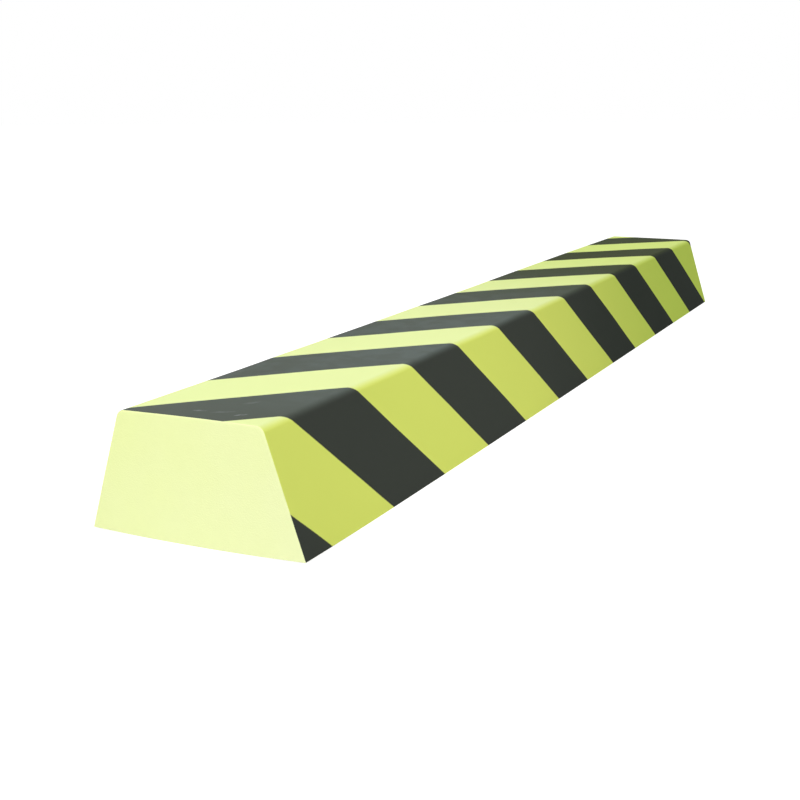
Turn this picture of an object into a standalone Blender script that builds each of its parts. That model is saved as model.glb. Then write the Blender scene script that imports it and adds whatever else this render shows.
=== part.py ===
"""Foam impact protector: a bar of soft foam with a flat-topped section and diagonal warning stripes.

Metres, +Z up. The bar lies on its wide base, with the middle of that base at the origin. Its length runs
along X and its near end is at -X.

The skin is laid out flat first: X runs along the bar, and Y is the way across the skin, from the left bottom
edge over the top to the right bottom edge. There the stripes are straight bands and are cut as such. Then the
sheet is folded over the section, so that every stripe runs on over the rounded edges and down the sides.
"""

import math

import bmesh
import bpy

LENGTH = 1.0
BASE_WIDTH = 0.150
TOP_WIDTH = 0.1005  # to where the top and the sides would meet if the edges were sharp
HEIGHT = 0.0775
TOP_EDGE_RADIUS = 0.0055  # the two long edges between the top and the sides
TOP_EDGE_STEPS = 14
END_EDGE_RADIUS = 0.0012  # where the skin turns over into the flat ends
END_EDGE_STEPS = 3

BLACK_STRIPE_WIDTH = 0.0555  # square to the stripe
YELLOW_STRIPE_WIDTH = 0.0555
STRIPE_ANGLE = math.radians(46.3)  # between a stripe and a line straight across the bar
FIRST_STRIPE_START = -0.025  # a black stripe's near edge on the top's centre line, from the near end

YELLOW_FOAM = (0.80, 0.93, 0.36)
BLACK_INK = (0.045, 0.050, 0.045)
YELLOW_SLOT = 0
BLACK_SLOT = 1

ON_PLANE = 1e-6  # points this near a plane count as lying on it


def clear_scene():
    for old in list(bpy.data.objects):
        bpy.data.objects.remove(old)


def make_material(name, color, roughness):
    material = bpy.data.materials.new(name)
    material.use_nodes = True
    surface = material.node_tree.nodes["Principled BSDF"]
    surface.inputs["Base Color"].default_value = (*color, 1.0)
    surface.inputs["Roughness"].default_value = roughness
    surface.inputs["Metallic"].default_value = 0.0
    material.diffuse_color = (*color, 1.0)
    return material


def yellow_foam():
    return make_material("yellow_foam", YELLOW_FOAM, 0.6)


def black_stripe():
    return make_material("black_stripe", BLACK_INK, 0.5)


def side_slope():
    """The angle that the skin turns through from the top to a side, and the length of the sloping side."""
    run = (BASE_WIDTH - TOP_WIDTH) / 2
    return math.atan2(HEIGHT, run), math.hypot(HEIGHT, run)


def flat_top_half():
    """Half the width of the flat of the top, from its centre line to where the edge starts to round."""
    turn, side_length = side_slope()
    return TOP_WIDTH / 2 - TOP_EDGE_RADIUS * math.tan(turn / 2)


def fold_lines():
    """The way across the flat skin of each fold line and of both bottom edges, from left to right."""
    turn, side_length = side_slope()
    flat = flat_top_half()
    right = [flat + TOP_EDGE_RADIUS * turn * step / TOP_EDGE_STEPS for step in range(TOP_EDGE_STEPS + 1)]
    right.append(right[-1] + side_length - TOP_EDGE_RADIUS * math.tan(turn / 2))
    return [-across for across in reversed(right)] + right


def section(drawn_in):
    """The places (y, z) of the fold lines in the section, with its top and sides drawn in by one distance."""
    turn, side_length = side_slope()
    flat = flat_top_half()
    radius = TOP_EDGE_RADIUS - drawn_in
    right = []
    for step in range(TOP_EDGE_STEPS + 1):
        angle = turn * step / TOP_EDGE_STEPS
        out = flat + radius * math.sin(angle)
        up = HEIGHT - TOP_EDGE_RADIUS + radius * math.cos(angle)
        right.append((-out, up))
    right.append((-BASE_WIDTH / 2 + drawn_in / math.sin(turn), 0.0))
    return [(-y, z) for y, z in reversed(right)] + right


def straight_half():
    """From the middle of the bar to where the skin starts to turn over into an end."""
    return LENGTH / 2 - END_EDGE_RADIUS


def end_fold_lines():
    """The way along the flat skin, from the middle of the bar, of each fold line at an end and of its rim."""
    quarter = END_EDGE_RADIUS * math.pi / 2
    return [straight_half() + quarter * step / END_EDGE_STEPS for step in range(END_EDGE_STEPS + 1)]


def flat_skin():
    """One flat rectangle, as long and as wide as the skin."""
    skin = bmesh.new()
    bmesh.ops.create_grid(skin, x_segments=1, y_segments=1, size=0.5)
    bmesh.ops.scale(skin, verts=skin.verts, vec=(2 * end_fold_lines()[-1], 2 * fold_lines()[-1], 1))
    return skin


def cut(skin, point, normal):
    bmesh.ops.bisect_plane(
        skin,
        geom=skin.verts[:] + skin.edges[:] + skin.faces[:],
        plane_co=point,
        plane_no=normal,
        dist=ON_PLANE,
    )


def cut_fold_lines(skin):
    for across in fold_lines()[1:-1]:
        cut(skin, (0, across, 0), (0, 1, 0))
    for along in end_fold_lines()[:-1]:
        cut(skin, (along, 0, 0), (1, 0, 0))
        cut(skin, (-along, 0, 0), (1, 0, 0))


def stripe_pitch():
    """The way along the bar from one black stripe to the next."""
    return (BLACK_STRIPE_WIDTH + YELLOW_STRIPE_WIDTH) / math.cos(STRIPE_ANGLE)


def stripe_count(along, across):
    """How many stripe pitches a point of the flat skin lies beyond the first black stripe's near edge."""
    start = FIRST_STRIPE_START - LENGTH / 2
    return (along - across * math.tan(STRIPE_ANGLE) - start) / stripe_pitch()


def cut_stripes(skin):
    """Cuts the flat skin along both edges of every black stripe that crosses it."""
    counts = [stripe_count(vert.co.x, vert.co.y) for vert in skin.verts]
    square_to_stripe = (math.cos(STRIPE_ANGLE), -math.sin(STRIPE_ANGLE), 0)
    black_length = BLACK_STRIPE_WIDTH / math.cos(STRIPE_ANGLE)
    for number in range(math.floor(min(counts)), math.ceil(max(counts))):
        near_edge = FIRST_STRIPE_START - LENGTH / 2 + number * stripe_pitch()
        cut(skin, (near_edge, 0, 0), square_to_stripe)
        cut(skin, (near_edge + black_length, 0, 0), square_to_stripe)


def colour_stripes(skin):
    black_share = BLACK_STRIPE_WIDTH / (BLACK_STRIPE_WIDTH + YELLOW_STRIPE_WIDTH)
    for face in skin.faces:
        middle = face.calc_center_median()
        in_black = stripe_count(middle.x, middle.y) % 1.0 < black_share
        face.material_index = BLACK_SLOT if in_black else YELLOW_SLOT


def folded_across(across, drawn_in):
    """The place (y, z) in the drawn-in section of a point this far across the flat skin."""
    lines = fold_lines()
    places = section(drawn_in)
    last = len(lines) - 1
    right = next((number for number in range(1, last) if across <= lines[number]), last)
    share = (across - lines[right - 1]) / (lines[right] - lines[right - 1])
    (left_y, left_z), (right_y, right_z) = places[right - 1], places[right]
    return left_y + share * (right_y - left_y), left_z + share * (right_z - left_z)


def folded_along(along):
    """A point's x this far along the flat skin, and how far the skin is drawn in there by its turn into an end."""
    past = max(abs(along) - straight_half(), 0.0)
    if past == 0.0:
        return along, 0.0
    angle = past / END_EDGE_RADIUS
    x = straight_half() + END_EDGE_RADIUS * math.sin(angle)
    return math.copysign(x, along), END_EDGE_RADIUS * (1 - math.cos(angle))


def fold_skin(skin):
    for vert in skin.verts:
        x, drawn_in = folded_along(vert.co.x)
        vert.co = (x, *folded_across(vert.co.y, drawn_in))


def fill(bar, edges):
    for face in bmesh.ops.edgeloop_fill(bar, edges=edges)["faces"]:
        face.material_index = YELLOW_SLOT


def on_plane(edge, axis, place):
    return all(abs(vert.co[axis] - place) < ON_PLANE for vert in edge.verts)


def close_bar(bar):
    """Adds the flat base and the two flat ends to the folded skin."""
    rim = [edge for edge in bar.edges if edge.is_boundary]
    base_rim = [edge for edge in rim if on_plane(edge, 2, 0.0)]
    base_ends = []
    for end in (-LENGTH / 2, LENGTH / 2):
        feet = [vert for vert in bar.verts if abs(vert.co.x - end) < ON_PLANE and abs(vert.co.z) < ON_PLANE]
        base_ends.append(bar.edges.new(feet))
        fill(bar, [base_ends[-1]] + [edge for edge in rim if on_plane(edge, 0, end)])
    fill(bar, base_rim + base_ends)


def shade_bar(mesh):
    mesh.shade_smooth()
    mesh.set_sharp_from_angle(angle=math.radians(40))


def foam_bar(collection):
    bar = flat_skin()
    cut_fold_lines(bar)
    cut_stripes(bar)
    colour_stripes(bar)
    fold_skin(bar)
    close_bar(bar)
    bmesh.ops.recalc_face_normals(bar, faces=bar.faces)
    mesh = bpy.data.meshes.new("foam_bar")
    bar.to_mesh(mesh)
    bar.free()
    mesh.materials.append(yellow_foam())
    mesh.materials.append(black_stripe())
    shade_bar(mesh)
    collection.objects.link(bpy.data.objects.new("foam_bar", mesh))


def main():
    clear_scene()
    collection = bpy.data.collections.new("foam_impact_protector")
    bpy.context.scene.collection.children.link(collection)
    foam_bar(collection)


main()
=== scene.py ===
# %% [markdown]
# A foam impact protector is a bar of soft foam that is glued along a beam, a wall or a conveyor frame, so
# that a knock does no harm. This lesson gives the plain solid bar its looks: the moulded skin with its
# warning stripes, the cut foam at both ends, and the small unevenness of a thing that is soft.
#
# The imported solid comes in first. It fixes where the bar lies and how large it is, in metres, with the
# middle of its flat base at the origin, its length along X and its near end at -X.

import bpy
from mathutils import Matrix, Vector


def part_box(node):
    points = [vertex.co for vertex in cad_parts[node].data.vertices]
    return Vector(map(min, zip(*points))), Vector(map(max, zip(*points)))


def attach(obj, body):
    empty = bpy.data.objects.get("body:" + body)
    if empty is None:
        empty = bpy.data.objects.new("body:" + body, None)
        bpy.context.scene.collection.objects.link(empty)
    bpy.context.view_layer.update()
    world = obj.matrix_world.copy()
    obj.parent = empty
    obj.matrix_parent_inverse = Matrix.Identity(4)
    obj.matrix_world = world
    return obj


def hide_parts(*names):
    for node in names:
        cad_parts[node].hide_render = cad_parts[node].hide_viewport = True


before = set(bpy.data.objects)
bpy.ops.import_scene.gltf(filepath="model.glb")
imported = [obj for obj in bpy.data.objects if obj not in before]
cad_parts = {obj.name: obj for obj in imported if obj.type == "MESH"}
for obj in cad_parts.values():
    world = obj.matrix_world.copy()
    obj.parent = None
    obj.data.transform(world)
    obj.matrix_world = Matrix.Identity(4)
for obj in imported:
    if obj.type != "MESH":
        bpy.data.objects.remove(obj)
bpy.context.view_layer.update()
low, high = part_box("foam_bar")
print("the solid reaches from", tuple(low), "to", tuple(high))

# %% Modules
import math

import bmesh
import bpy
from mathutils import Quaternion, Vector, noise

# %% [markdown]
# The camera comes before any piece, because it decides how large a detail shows. The bar is seen from its
# near right corner, a little above it, with a lens slightly longer than normal. A camera looks along its own
# -Z, so the quickest way to aim it is to turn that axis towards a point. The camera isn't quite level, by
# less than one degree, which is a last small turn about the line of sight.

# %% Camera
CAMERA_PLACE = Vector((-1.0609, -0.4129, 0.2527))
CAMERA_AIM = Vector((-0.0521, 0.0859, -0.0203))
CAMERA_TILT = math.radians(-0.78)

camera = bpy.data.objects.new("camera", bpy.data.cameras.new("camera"))
camera.data.sensor_width = 36
camera.data.lens = 55.53
camera.data.clip_start = 0.01
camera.location = CAMERA_PLACE
camera.rotation_mode = "QUATERNION"
line_of_sight = CAMERA_AIM - CAMERA_PLACE
camera.rotation_quaternion = line_of_sight.to_track_quat("-Z", "Y") @ Quaternion((0, 0, 1), CAMERA_TILT)
bpy.context.scene.collection.objects.link(camera)
bpy.context.scene.camera = camera
print("the camera stands", round(line_of_sight.length, 3), "m from the point it looks at")

# %% [markdown]
# The bar's section is a flat-topped wedge, a trapezium, whose two top edges are rounded. The mould gives the
# rounding, and the skin runs over it without a seam. The base and the ends are flat.
#
# Length, base and height are read from the solid, so that they can't differ from it. The width of the top and
# the rounding are the solid's own values again.

# %% Section
TOP_WIDTH = 0.1005
TOP_EDGE_RADIUS = 0.0055

length = high.x - low.x
base_width = high.y - low.y
height = high.z - low.z
side_run = (base_width - TOP_WIDTH) / 2
side_turn = math.atan2(height, side_run)
edge_setback = TOP_EDGE_RADIUS * math.tan(side_turn / 2)
flat_half = TOP_WIDTH / 2 - edge_setback
rounding_length = TOP_EDGE_RADIUS * side_turn
print("the skin turns", round(math.degrees(side_turn), 1), "degrees from the top to a side")
print("flat half of the top:", round(flat_half * 1000, 1), "mm")
print("skin over one rounding:", round(rounding_length * 1000, 1), "mm")

# %% [markdown]
# The blank is a cube, made as long, wide and high as the bar and pinched at its top. Extruding the section
# would do as well, but a cube already has its normals outwards, its ends closed and its edges easy to find.

# %% Blank
bar = bmesh.new()
bmesh.ops.create_cube(bar, size=1)
bmesh.ops.scale(bar, verts=bar.verts, vec=(length, base_width, height))
bmesh.ops.translate(bar, verts=bar.verts, vec=(0, 0, height / 2))
top_corners = [vert for vert in bar.verts if vert.co.z > height / 2]
bmesh.ops.scale(bar, verts=top_corners, vec=(1, TOP_WIDTH / base_width, 1))
print("the blank has", len(bar.verts), "corners")

# %% [markdown]
# A bevel rounds the two long edges. Its offset is measured along the faces, from the sharp edge to where the
# rounding starts, which is the radius times the tangent of half the turn. Then the rim of each end is rounded
# by less than a millimetre: soft foam that has been cut with a wire is never quite sharp. The bottom edges
# stay sharp.

# %% Rounded edges
ROUNDING_STEPS = 14
END_RIM = 0.0007
END_RIM_STEPS = 4
ON_PLANE = 1e-6  # points this near a plane count as lying on it


def round_edges(mesh, edges, offset, steps):
    bmesh.ops.bevel(
        mesh,
        geom=edges,
        offset=offset,
        offset_type="OFFSET",
        segments=steps,
        profile=0.5,
        affect="EDGES",
        material=-1,
        clamp_overlap=True,
    )


def runs_at(edge, test):
    return all(test(vert.co) for vert in edge.verts)


def on_shoulder(edge):
    return runs_at(edge, lambda co: co.z > height / 2) and edge.calc_length() > 2 * height


def on_end_rim(edge):
    at_an_end = abs(edge.verts[0].co.x - edge.verts[1].co.x) < ON_PLANE
    return at_an_end and not runs_at(edge, lambda co: co.z < ON_PLANE)


round_edges(bar, [edge for edge in bar.edges if on_shoulder(edge)], edge_setback, ROUNDING_STEPS)
round_edges(bar, [edge for edge in bar.edges if on_end_rim(edge)], END_RIM, END_RIM_STEPS)
print("rounded bar:", len(bar.faces), "faces")

# %% [markdown]
# A smooth shaded mesh blends its normals over whole faces, so a large flat face beside a narrow rounding
# would look pillowed. A support cut close to each rounding keeps the blend narrow. The remaining cuts lay an
# even net over the bar, which the later unevenness needs.

# %% Net of cuts
SUPPORT = 0.0012
NET_ALONG = 0.010
NET_ACROSS = 0.0085


def cut(mesh, place, normal):
    bmesh.ops.bisect_plane(
        mesh,
        geom=mesh.verts[:] + mesh.edges[:] + mesh.faces[:],
        plane_co=place,
        plane_no=normal,
        dist=ON_PLANE,
    )


def even_steps(first, last, step):
    count = max(1, round((last - first) / step))
    return [first + (last - first) * number / count for number in range(1, count)]


end_faces = [face for face in bar.faces if abs(face.normal.x) > 0.999]
bmesh.ops.inset_region(bar, faces=end_faces, thickness=SUPPORT, use_even_offset=True)
support_x = length / 2 - END_RIM - SUPPORT
for x in [-support_x, support_x] + even_steps(-support_x, support_x, NET_ALONG):
    cut(bar, (x, 0, 0), (1, 0, 0))
for y in [-flat_half + SUPPORT, flat_half - SUPPORT] + even_steps(-flat_half, flat_half, NET_ACROSS):
    cut(bar, (0, y, 0), (0, 1, 0))
rounding_bottom = height - TOP_EDGE_RADIUS * (1 - math.cos(side_turn))
for z in [rounding_bottom - SUPPORT] + even_steps(0, rounding_bottom, NET_ACROSS):
    cut(bar, (0, 0, z), (0, 0, 1))
print("after the cuts:", len(bar.faces), "faces")

# %% [markdown]
# The stripes are straight on the skin when it lies flat, before it is folded over the bar. So each point of
# the skin gets its place on that flat sheet: how far along the bar it is, and how far across the skin from
# the middle line of the top. A UV map is the natural home for two such numbers. Here it holds metres, which
# makes every width in the material a real one.

# %% Places on the flat skin
def across_skin(y, z):
    """The way over the skin from the top's middle line, positive towards the right side, which is -Y."""
    out = abs(y)
    from_centre = Vector((out - flat_half, z - (height - TOP_EDGE_RADIUS)))
    angle = math.atan2(from_centre.x, from_centre.y)
    if out <= flat_half:
        way = out
    elif angle <= side_turn:
        way = flat_half + TOP_EDGE_RADIUS * angle
    else:
        down_side = Vector((math.cos(side_turn), -math.sin(side_turn)))
        way = flat_half + rounding_length + from_centre.dot(down_side)
    return -math.copysign(way, y)


skin_map = bar.loops.layers.uv.new("skin")
for face in bar.faces:
    for loop in face.loops:
        place = loop.vert.co
        loop[skin_map].uv = (place.x, across_skin(place.y, place.z))
print("the flat skin is", round(2 * across_skin(-base_width / 2, 0) * 1000, 1), "mm wide")

# %% [markdown]
# Three finishes meet on the bar: the striped skin, the bare foam of the cut ends, and the base, which nobody
# sees once it is glued down. The way a face looks tells which is which, so the face's normal picks its slot.

# %% Slots by the way a face looks
SKIN_SLOT, CUT_SLOT, BASE_SLOT = range(3)
MOSTLY_FORWARD = math.cos(math.radians(62))
STRAIGHT_DOWN = -0.99

bar.normal_update()
for face in bar.faces:
    face.smooth = True
    if face.normal.z < STRAIGHT_DOWN:
        face.material_index = BASE_SLOT
    elif abs(face.normal.x) > MOSTLY_FORWARD:
        face.material_index = CUT_SLOT
    else:
        face.material_index = SKIN_SLOT
print("faces of each slot:", [sum(face.material_index == slot for face in bar.faces) for slot in range(3)])

# %% [markdown]
# A long bar of soft foam is never as straight as a machined one. This one bends sideways by about a
# millimetre over its length, its faces are very slightly wavy, its top is a little full in the middle, and
# its right shoulder sinks a little between the ends. The near end leans to its left, the far end leans to its
# right, and the far half of the top is tilted, higher at its left. The wire has left both ends a little full
# at the foot, and at the near end the bottom corners lift off the floor by less than a millimetre.
#
# Cloth simulation would not show this, since the foam is solid and holds its own shape, so the net's points
# are moved one by one. Each move is a small product: how large it is at most, times how much of it there is
# along the bar, across it and at that height. The waves are noise, which mathutils would seed by the clock
# and so make differently in each run. That is why it gets a fixed seed.

# %% Unevenness of soft foam
SIDE_BEND = 0.0012
BEND_SKEW = 0.7  # how far the bend lies towards the near end
WAVE_HEIGHT = 0.00035
WAVE_LENGTH = 0.075
WAVE_SEED = 1796080816
BASE_REACH = 1 / 3  # the share of the height in which the waves fade out towards the base
CROWN = 0.00025
SHOULDER_SAG = 0.00025
SHOULDER_REACH = 0.010
NEAR_LEAN = 0.0007
FAR_LEAN = 0.0013
LEAN_REACH = 0.2  # this reach and the next two are shares of half the length
FAR_TILT = 0.0009
TILT_START, TILT_FULL = -0.1, 0.5
TILT_RAISE = 0.15  # the share of the tilt that lifts the middle line of the top
FOOT_FULLNESS = 0.0015
FOOT_REACH = 0.02
CORNER_LIFT = 0.0008


def share(value):
    return min(1.0, max(0.0, value))


def settle(co):
    along, up = 2 * co.x / length, co.z / height
    over_base, over_top = 2 * co.y / base_width, 2 * co.y / TOP_WIDTH
    between_ends = 1 - along * along
    at_near_end = share(1 - (1 + along) / LEAN_REACH) ** 2
    at_far_end = share(1 - (1 - along) / LEAN_REACH) ** 2
    off_base = share(up / BASE_REACH)

    wave = noise.noise_vector(co / WAVE_LENGTH) * WAVE_HEIGHT * off_base
    bend = -SIDE_BEND * between_ends * (1 - BEND_SKEW * along)
    near_lean = NEAR_LEAN * at_near_end * (up + (1 - up) * (1 + over_base) / 2)
    far_lean = FAR_LEAN * at_far_end * up

    crown = CROWN * up * share(1 - over_top**2)
    from_shoulder = (-co.y - TOP_WIDTH / 2) / SHOULDER_REACH
    sag = SHOULDER_SAG * between_ends * share(1 - from_shoulder**2) * off_base
    tilted = share((along - TILT_START) / (TILT_FULL - TILT_START))
    tilt = FAR_TILT * tilted * up * (TILT_RAISE + (1 - TILT_RAISE) * over_top)
    lift = CORNER_LIFT * at_near_end * (1 - up) ** 2 * over_base**2

    foot = FOOT_FULLNESS * (1 - up) ** 2 * share(1 - over_base**2)
    push = math.copysign(foot, co.x) * share(1 - (1 - abs(along)) / FOOT_REACH)
    return co + Vector((push, wave.y + bend + near_lean - far_lean, wave.z + crown - sag + tilt + lift))


noise.seed_set(WAVE_SEED)
for vert in bar.verts:
    vert.co = settle(vert.co)

bar_mesh = bpy.data.meshes.new("impact_bar")
bmesh.ops.recalc_face_normals(bar, faces=bar.faces)
bar.to_mesh(bar_mesh)
bar.free()
bar_mesh.set_sharp_from_angle(angle=math.radians(50))
impact_bar = bpy.data.objects.new("impact_bar", bar_mesh)
bpy.context.scene.collection.objects.link(impact_bar)
print("impact_bar has", len(bar_mesh.polygons), "faces")

# %% [markdown]
# A material is a small sum over the surface, so it is written as one. The class below wraps a node's output.
# Adding or multiplying two wires adds the Math node that does it, and one method makes every other node.

# %% Shader sums
class Wire:
    """One output of a node, which can be used in a sum."""

    def __init__(self, tree, socket):
        self.tree = tree
        self.socket = socket

    def node(self, kind, settings, inputs, output=0):
        """A new node of the same tree. Its settings are set first, then its sockets get values or links."""
        new = self.tree.nodes.new(kind)
        for name, value in settings.items():
            setattr(new, name, value)
        for name, value in inputs.items():
            if isinstance(value, Wire):
                self.tree.links.new(value.socket, new.inputs[name])
            else:
                new.inputs[name].default_value = value
        return Wire(self.tree, new.outputs[output])

    def math(self, operation, first, second=0.0):
        return self.node("ShaderNodeMath", {"operation": operation}, {0: first, 1: second})

    def __add__(self, other):
        return self.math("ADD", self, other)

    def __sub__(self, other):
        return self.math("SUBTRACT", self, other)

    def __mul__(self, other):
        return self.math("MULTIPLY", self, other)

    def __truediv__(self, other):
        return self.math("DIVIDE", self, other)

    def __rsub__(self, other):
        return self.math("SUBTRACT", other, self)

    __radd__ = __add__
    __rmul__ = __mul__

    def fraction(self):
        return self.math("FRACT", self)

    def size(self):
        return self.math("ABSOLUTE", self)

    def clamped(self):
        return self.node("ShaderNodeClamp", {}, {0: self})

    def eased(self, start, end):
        """0 below start, 1 above end, and a smooth rise between them."""
        settings = {"interpolation_type": "SMOOTHSTEP"}
        return self.node("ShaderNodeMapRange", settings, {0: self, 1: start, 2: end})

    def colour(self, low_colour, high_colour):
        """The first colour where the wire is 0 and the second where it is 1."""
        settings = {"data_type": "RGBA"}
        return self.node("ShaderNodeMix", settings, {0: self, 6: low_colour, 7: high_colour}, output=2)


# %% Start of a material
def new_finish(name, roughness, specular):
    """A material with its constants set, its Principled shader, and the wire of its Object coordinates."""
    material = bpy.data.materials.new(name)
    material.use_nodes = True
    tree = material.node_tree
    shader = tree.nodes["Principled BSDF"]
    shader.inputs["Roughness"].default_value = roughness
    shader.inputs["Specular IOR Level"].default_value = specular
    coordinates = tree.nodes.new("ShaderNodeTexCoord")
    return material, shader, Wire(tree, coordinates.outputs["Object"])


def plug(wire, shader, name):
    wire.tree.links.new(wire.socket, shader.inputs[name])


def grain(place, scale, detail=2.0, roughness=0.5):
    """Noise from 0 to 1 with a number of waves to the metre."""
    inputs = {"Vector": place, "Scale": scale, "Detail": detail, "Roughness": roughness}
    return place.node("ShaderNodeTexNoise", {}, inputs)


def bumped(relief, depth):
    return relief.node("ShaderNodeBump", {}, {"Height": relief, "Distance": depth, "Strength": 1.0})


# %% [markdown]
# The stripes first. Along the bar, one black and one yellow stripe make one pitch. A stripe leans, so going
# across the skin moves it along the bar by the tangent of its angle. The fraction of that count of pitches
# says where a point is within its own pitch, and the distance to the nearest edge of the black stripe follows
# from it in metres. Wavering that distance a little gives the uneven edge of ink on soft foam, where a mask
# that jumps from 0 to 1 would look cut out of paper. Soft foam also stretches when it is handled: before the
# bar's middle the stripes lie up to three millimetres nearer to the near end than an even count puts them.

# %% Stripes
STRIPE_WIDTH = 0.0555
STRIPE_ANGLE = math.radians(46.3)
FIRST_STRIPE_START = -0.025
STRETCH = 0.0031
STRETCH_MIDDLE = -0.19
STRETCH_REACH = 0.32
INK_EDGE = 0.00045
WANDER, WANDER_WAVES = 0.0004, 22.0  # waves to the metre, here and below
FRAY, FRAY_WAVES = 0.0002, 900.0


def black_stripes(along, across, place):
    """1 in the black ink and 0 in the yellow skin."""
    pitch = 2 * STRIPE_WIDTH / math.cos(STRIPE_ANGLE)
    first_middle = low.x + FIRST_STRIPE_START + pitch / 4
    from_stretch = (along - STRETCH_MIDDLE) / STRETCH_REACH
    stretched = (1 - from_stretch * from_stretch).clamped()
    even_along = along + STRETCH * stretched * stretched
    count = (even_along - across * math.tan(STRIPE_ANGLE) - first_middle) / pitch + 0.5
    from_middle = (count.fraction() - 0.5).size()
    inside = (0.25 - from_middle) * (2 * STRIPE_WIDTH)
    wander = (grain(place, WANDER_WAVES, detail=1.0) - 0.5) * (2 * WANDER)
    fray = (grain(place, FRAY_WAVES, detail=2.0) - 0.5) * (2 * FRAY)
    return (inside + wander + fray).eased(-INK_EDGE, INK_EDGE)


# %% [markdown]
# The skin itself is fluorescent yellow. Its colours hold painted light: the top is painted paler than the
# sides, as a painted light on the lit top, and the near half of the top is painted palest, with its ink a
# soft grey, as a painted sheen, while the far half is painted deeper, as painted shade where the light falls
# off. It is closed foam with a dull finish, so it has a fine grain, and its shine is uneven in soft patches.
# The ink is a little smoother than the yellow and slightly cloudy at random, painted lighter towards the
# right as a painted sheen, and darker right at the near end. Each of these changes has a range, along or
# across the flat skin, in which it comes in.

# %% Striped skin
# Painted light in these colours: the top ones are lit copies of the side ones, the near top ones hold a
# painted sheen, and the far ones are painted shade.
TOP_YELLOW_WITH_SHEEN = (0.815, 0.915, 0.415, 1.0)
TOP_YELLOW_LIT_FAR = (0.765, 0.915, 0.270, 1.0)
SIDE_YELLOW = (0.818, 0.912, 0.180, 1.0)
SIDE_YELLOW_SHADED_FAR = (0.700, 0.890, 0.142, 1.0)
TOP_INK_WITH_SHEEN = (0.119, 0.141, 0.130, 1.0)
TOP_INK_DARK = (0.097, 0.112, 0.095, 1.0)
TOP_INK_LIT_FAR = (0.053, 0.066, 0.030, 1.0)
SIDE_INK = (0.055, 0.062, 0.052, 1.0)
SIDE_INK_SHADED_FAR = (0.035, 0.043, 0.034, 1.0)

YELLOW_SHEEN_AND_LIGHT_FADE = -0.12, 0.42
INK_SHEEN_AND_LIGHT_FADE = -0.22, 0.28
INK_SHEEN_ALONG = -0.49, -0.39
INK_SHEEN_ACROSS = -0.045, 0.035

SKIN_ROUGHNESS = 0.62
INK_SMOOTHER = 0.10
PATCH_WAVES, PATCH_ROUGHNESS = 14.0, 0.10
CLOUD_WAVES = 60.0
FINE_WAVES, FINE_ROUGHNESS, FINE_DEPTH = 1400.0, 0.06, 0.00006

skin, skin_shader, skin_place = new_finish("striped_skin", roughness=0.6, specular=0.003)
skin_uv = skin_place.node("ShaderNodeUVMap", {"uv_map": "skin"}, {})
along = skin_uv.node("ShaderNodeSeparateXYZ", {}, {0: skin_uv}, output=0)
across = skin_uv.node("ShaderNodeSeparateXYZ", {}, {0: skin_uv}, output=1)

black = black_stripes(along, across, skin_place)
on_side = across.size().eased(flat_half, flat_half + rounding_length)
# These two ranges fade the painted sheen and light of the near half into the painted shade of the far end.
yellow_sheen_and_light_falloff = along.eased(*YELLOW_SHEEN_AND_LIGHT_FADE)
ink_sheen_and_light_falloff = along.eased(*INK_SHEEN_AND_LIGHT_FADE)
patches = grain(skin_place, PATCH_WAVES, detail=3.0)
cloud_noise = grain(skin_place, CLOUD_WAVES, detail=3.0).eased(0.35, 0.65)
# The cloud noise is random tone of the ink; its rise towards the right is a painted sheen, and the near end
# stays darker.
ink_clouds_and_sheen = 0.5 * (cloud_noise + across.eased(*INK_SHEEN_ACROSS)) * along.eased(*INK_SHEEN_ALONG)
fine = grain(skin_place, FINE_WAVES, detail=2.0, roughness=0.6)

top_yellow_with_sheen = yellow_sheen_and_light_falloff.colour(TOP_YELLOW_WITH_SHEEN, TOP_YELLOW_LIT_FAR)
side_yellow_with_shade = yellow_sheen_and_light_falloff.colour(SIDE_YELLOW, SIDE_YELLOW_SHADED_FAR)
top_ink_with_sheen = ink_sheen_and_light_falloff.colour(ink_clouds_and_sheen.colour(TOP_INK_DARK, TOP_INK_WITH_SHEEN), TOP_INK_LIT_FAR)
# Top against side is painted light: the top's colours are painted lighter, as the lit copies of the side's.
yellow = on_side.colour(top_yellow_with_sheen, side_yellow_with_shade)
ink = on_side.colour(top_ink_with_sheen, ink_sheen_and_light_falloff.colour(SIDE_INK, SIDE_INK_SHADED_FAR))
uneven_shine = PATCH_ROUGHNESS * (patches - 0.5) + FINE_ROUGHNESS * (fine - 0.5)
plug(SKIN_ROUGHNESS - INK_SMOOTHER * black + uneven_shine, skin_shader, "Roughness")
plug(bumped(fine, FINE_DEPTH), skin_shader, "Normal")
bar_mesh.materials.append(skin)

# %% [markdown]
# Something hard has brushed the nearest black stripe of the top and left a few small pale rubs. Each is an
# ellipse on the flat skin: the two ways from its middle, along and square to the rub, are divided by its half
# length and half width, and their squares add up to 1 on its rim. Noise breaks it up, because a rub takes
# only the high spots of the ink. The last value of each rub says how strong it is.

# %% Rubs on the nearest stripe
RUB_GREY = (0.205, 0.225, 0.222, 1.0)
RUB_WAVES = 420.0
RUBS = [
    ((-0.484, -0.003), (0.0055, 0.0020), math.radians(80), 0.8),
    ((-0.483, 0.0250), (0.0050, 0.0018), math.radians(40), 1.0),
    ((-0.455, 0.0145), (0.0075, 0.0028), math.radians(28), 0.35),
    ((-0.481, 0.0120), (0.0090, 0.0025), math.radians(58), 0.35),
]


def rub(middle, half, turn, strength):
    """The rub's strength in its middle and 0 from its rim on."""
    out, over = along - middle[0], across - middle[1]
    lengthwise = (out * math.cos(turn) + over * math.sin(turn)) / half[0]
    sideways = (over * math.cos(turn) - out * math.sin(turn)) / half[1]
    return strength * (1 - (lengthwise * lengthwise + sideways * sideways).eased(0.1, 1.0))


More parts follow.
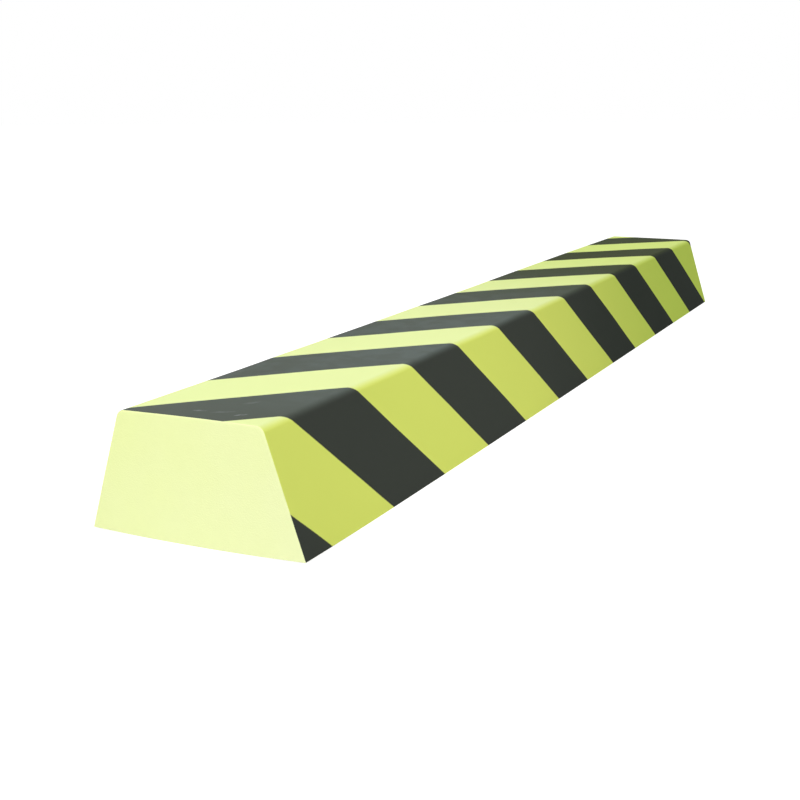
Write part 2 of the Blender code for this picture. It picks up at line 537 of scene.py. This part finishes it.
high_spots = grain(skin_place, RUB_WAVES, detail=3.0).eased(0.25, 0.65)
rubbed = sum(rub(*values) for values in RUBS) * high_spots
plug(black.colour(yellow, rubbed.colour(ink, RUB_GREY)), skin_shader, "Base Color")
print("the nearest stripe has", len(RUBS), "rubs")

# %% [markdown]
# At the ends the wire has opened the foam. It is paler than the skin, partly its own colour and partly
# painted light, and palest towards the right foot, which is a painted light. It is rough with small cells,
# which a
# Voronoi pattern gives: the distance to the nearest cell's middle makes each cell a shallow dish.

# %% Cut foam
CUT_FOAM_PALE_LIT = (0.866, 0.924, 0.515, 1.0)
CUT_FOAM_DEEP = (0.832, 0.910, 0.412, 1.0)
CELL_WAVES, CLUMP_WAVES, PALE_WAVES = 1300.0, 350.0, 30.0
CELL_DEPTH = 0.0001

cut_foam, cut_shader, cut_place = new_finish("cut_foam", roughness=0.85, specular=0.05)
cells = cut_place.node("ShaderNodeTexVoronoi", {"feature": "F1"}, {"Vector": cut_place, "Scale": CELL_WAVES})
cut_y = cut_place.node("ShaderNodeSeparateXYZ", {}, {0: cut_place}, output=1)
cut_z = cut_place.node("ShaderNodeSeparateXYZ", {}, {0: cut_place}, output=2)
# Painted light: the cut end is painted paler towards its right foot; the noise on it is random tone.
painted_light_to_right_foot = 0.5 - 4.0 * cut_y - 5.0 * (cut_z - height / 2)
pale_tone_and_painted_light = (painted_light_to_right_foot + 0.5 * (grain(cut_place, PALE_WAVES, detail=4.0) - 0.5)).clamped()
plug(pale_tone_and_painted_light.colour(CUT_FOAM_DEEP, CUT_FOAM_PALE_LIT), cut_shader, "Base Color")
plug(bumped(cells + 0.6 * grain(cut_place, CLUMP_WAVES), CELL_DEPTH), cut_shader, "Normal")
bar_mesh.materials.append(cut_foam)

# %% [markdown]
# The base is hidden on the floor. It is the plain foam of the bar, flat and slightly rough for the glue.

# %% Base
BASE_FOAM = (0.800, 0.890, 0.300, 1.0)
BASE_FOAM_DEEP = (0.760, 0.850, 0.260, 1.0)
BASE_WAVES, BASE_DEPTH = 500.0, 0.0001

base_foam, base_shader, base_place = new_finish("base_foam", roughness=0.8, specular=0.25)
base_grain = grain(base_place, BASE_WAVES, detail=3.0)
plug(base_grain.eased(0.3, 0.7).colour(BASE_FOAM_DEEP, BASE_FOAM), base_shader, "Base Color")
plug(bumped(base_grain, BASE_DEPTH), base_shader, "Normal")
bar_mesh.materials.append(base_foam)
print("finishes:", [material.name for material in bar_mesh.materials])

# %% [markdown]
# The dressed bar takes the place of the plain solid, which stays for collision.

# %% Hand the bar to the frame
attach(impact_bar, "root")
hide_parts("foam_bar")

# %% [markdown]
# The studio is all white: a floor without an end, and a bright world behind it. Light Path tells the camera's
# rays from the rays that light the bar, so the background can be white while the light on the bar stays at a
# plain level.

# %% Floor
FLOOR_HALF = 12.0
FLOOR_DROP = 0.0002  # keeps the floor and the base from lying in one plane
FLOOR_GREY = (0.50, 0.50, 0.50, 1.0)
FLOOR_GLOW = 0.80

floor_bmesh = bmesh.new()
bmesh.ops.create_grid(floor_bmesh, x_segments=1, y_segments=1, size=FLOOR_HALF)
floor_mesh = bpy.data.meshes.new("floor")
floor_bmesh.to_mesh(floor_mesh)
floor_bmesh.free()
floor = bpy.data.objects.new("floor", floor_mesh)
bpy.context.scene.collection.objects.link(floor)
floor.location.z = -FLOOR_DROP

floor_finish = bpy.data.materials.new("white_floor")
floor_finish.use_nodes = True
floor_tree = floor_finish.node_tree
floor_shader = floor_tree.nodes["Principled BSDF"]
floor_shader.inputs["Base Color"].default_value = FLOOR_GREY
floor_shader.inputs["Roughness"].default_value = 0.9
floor_shader.inputs["Specular IOR Level"].default_value = 0.1
floor_shader.inputs["Emission Color"].default_value = (1.0, 1.0, 1.0, 1.0)
floor_mesh.materials.append(floor_finish)

# %% World
WORLD_LIGHT = 0.40

world = bpy.data.worlds.new("studio")
world.use_nodes = True
bpy.context.scene.world = world
world_tree = world.node_tree
background = world_tree.nodes["Background"]
background.inputs["Color"].default_value = (1.0, 1.0, 1.0, 1.0)


def seen_directly(tree):
    """1 for the camera's own rays and for those of reflections and clear materials, 0 for light."""
    path = tree.nodes.new("ShaderNodeLightPath")
    rays = [Wire(tree, path.outputs[f"Is {kind} Ray"]) for kind in ("Camera", "Glossy", "Transmission")]
    return (rays[0] + rays[1] + rays[2]).clamped()


world_strength = WORLD_LIGHT + (1.0 - WORLD_LIGHT) * seen_directly(world_tree)
world_tree.links.new(world_strength.socket, background.inputs["Strength"])
floor_glow = FLOOR_GLOW * seen_directly(floor_tree)
floor_tree.links.new(floor_glow.socket, floor_shader.inputs["Emission Strength"])

# %% [markdown]
# Six soft lamps. The key stands high beyond the near end, so that the end and the near part of the top are
# brightest, and a second one over the bar lets the light fall off only slowly along the top. On the right
# side it falls off faster: there a small lamp with a grid, which narrows its beam, reaches the near half
# only. Weak lamps behind the left side and beyond the far end keep both from going dull in other views. None
# stands where the black of the top would mirror it to the camera, because that would turn the ink grey.

# %% Lamps
def softbox(name, place, aim, size, power, beam=180):
    """A square lamp that the camera doesn't see. A beam under 180 degrees is what a grid gives."""
    lamp = bpy.data.lights.new(name, "AREA")
    lamp.shape = "SQUARE"
    lamp.size = size
    lamp.energy = power
    lamp.spread = math.radians(beam)
    lamp_object = bpy.data.objects.new(name, lamp)
    lamp_object.location = place
    lamp_object.rotation_euler = (Vector(aim) - Vector(place)).to_track_quat("-Z", "Y").to_euler()
    lamp_object.visible_camera = False
    bpy.context.scene.collection.objects.link(lamp_object)


softbox("key", (-2.4, -0.2, 1.0), (-0.4, 0, 0), 1.0, 29.7)
softbox("high", (-0.5, 0.5, 1.4), (-0.25, 0, 0), 1.0, 6.3)
softbox("fill", (-0.4, -1.0, 0.8), (-0.25, 0, 0.04), 0.5, 0.32, beam=50)
softbox("back", (1.0, 1.6, 0.5), (0.0, 0, 0), 0.8, 6.5)
softbox("far_high", (1.3, 0.3, 1.0), (0.5, 0, 0.04), 0.6, 0.35, beam=60)
softbox("far_side", (1.5, -0.7, 0.5), (0.5, 0, 0.04), 0.6, 0.20, beam=60)

# %% [markdown]
# Last, the view. The dressed bar may stand a little proud of the solid. The picture uses the Standard view
# transform.

# %% View and the end
bpy.context.scene.view_settings.view_transform = "Standard"
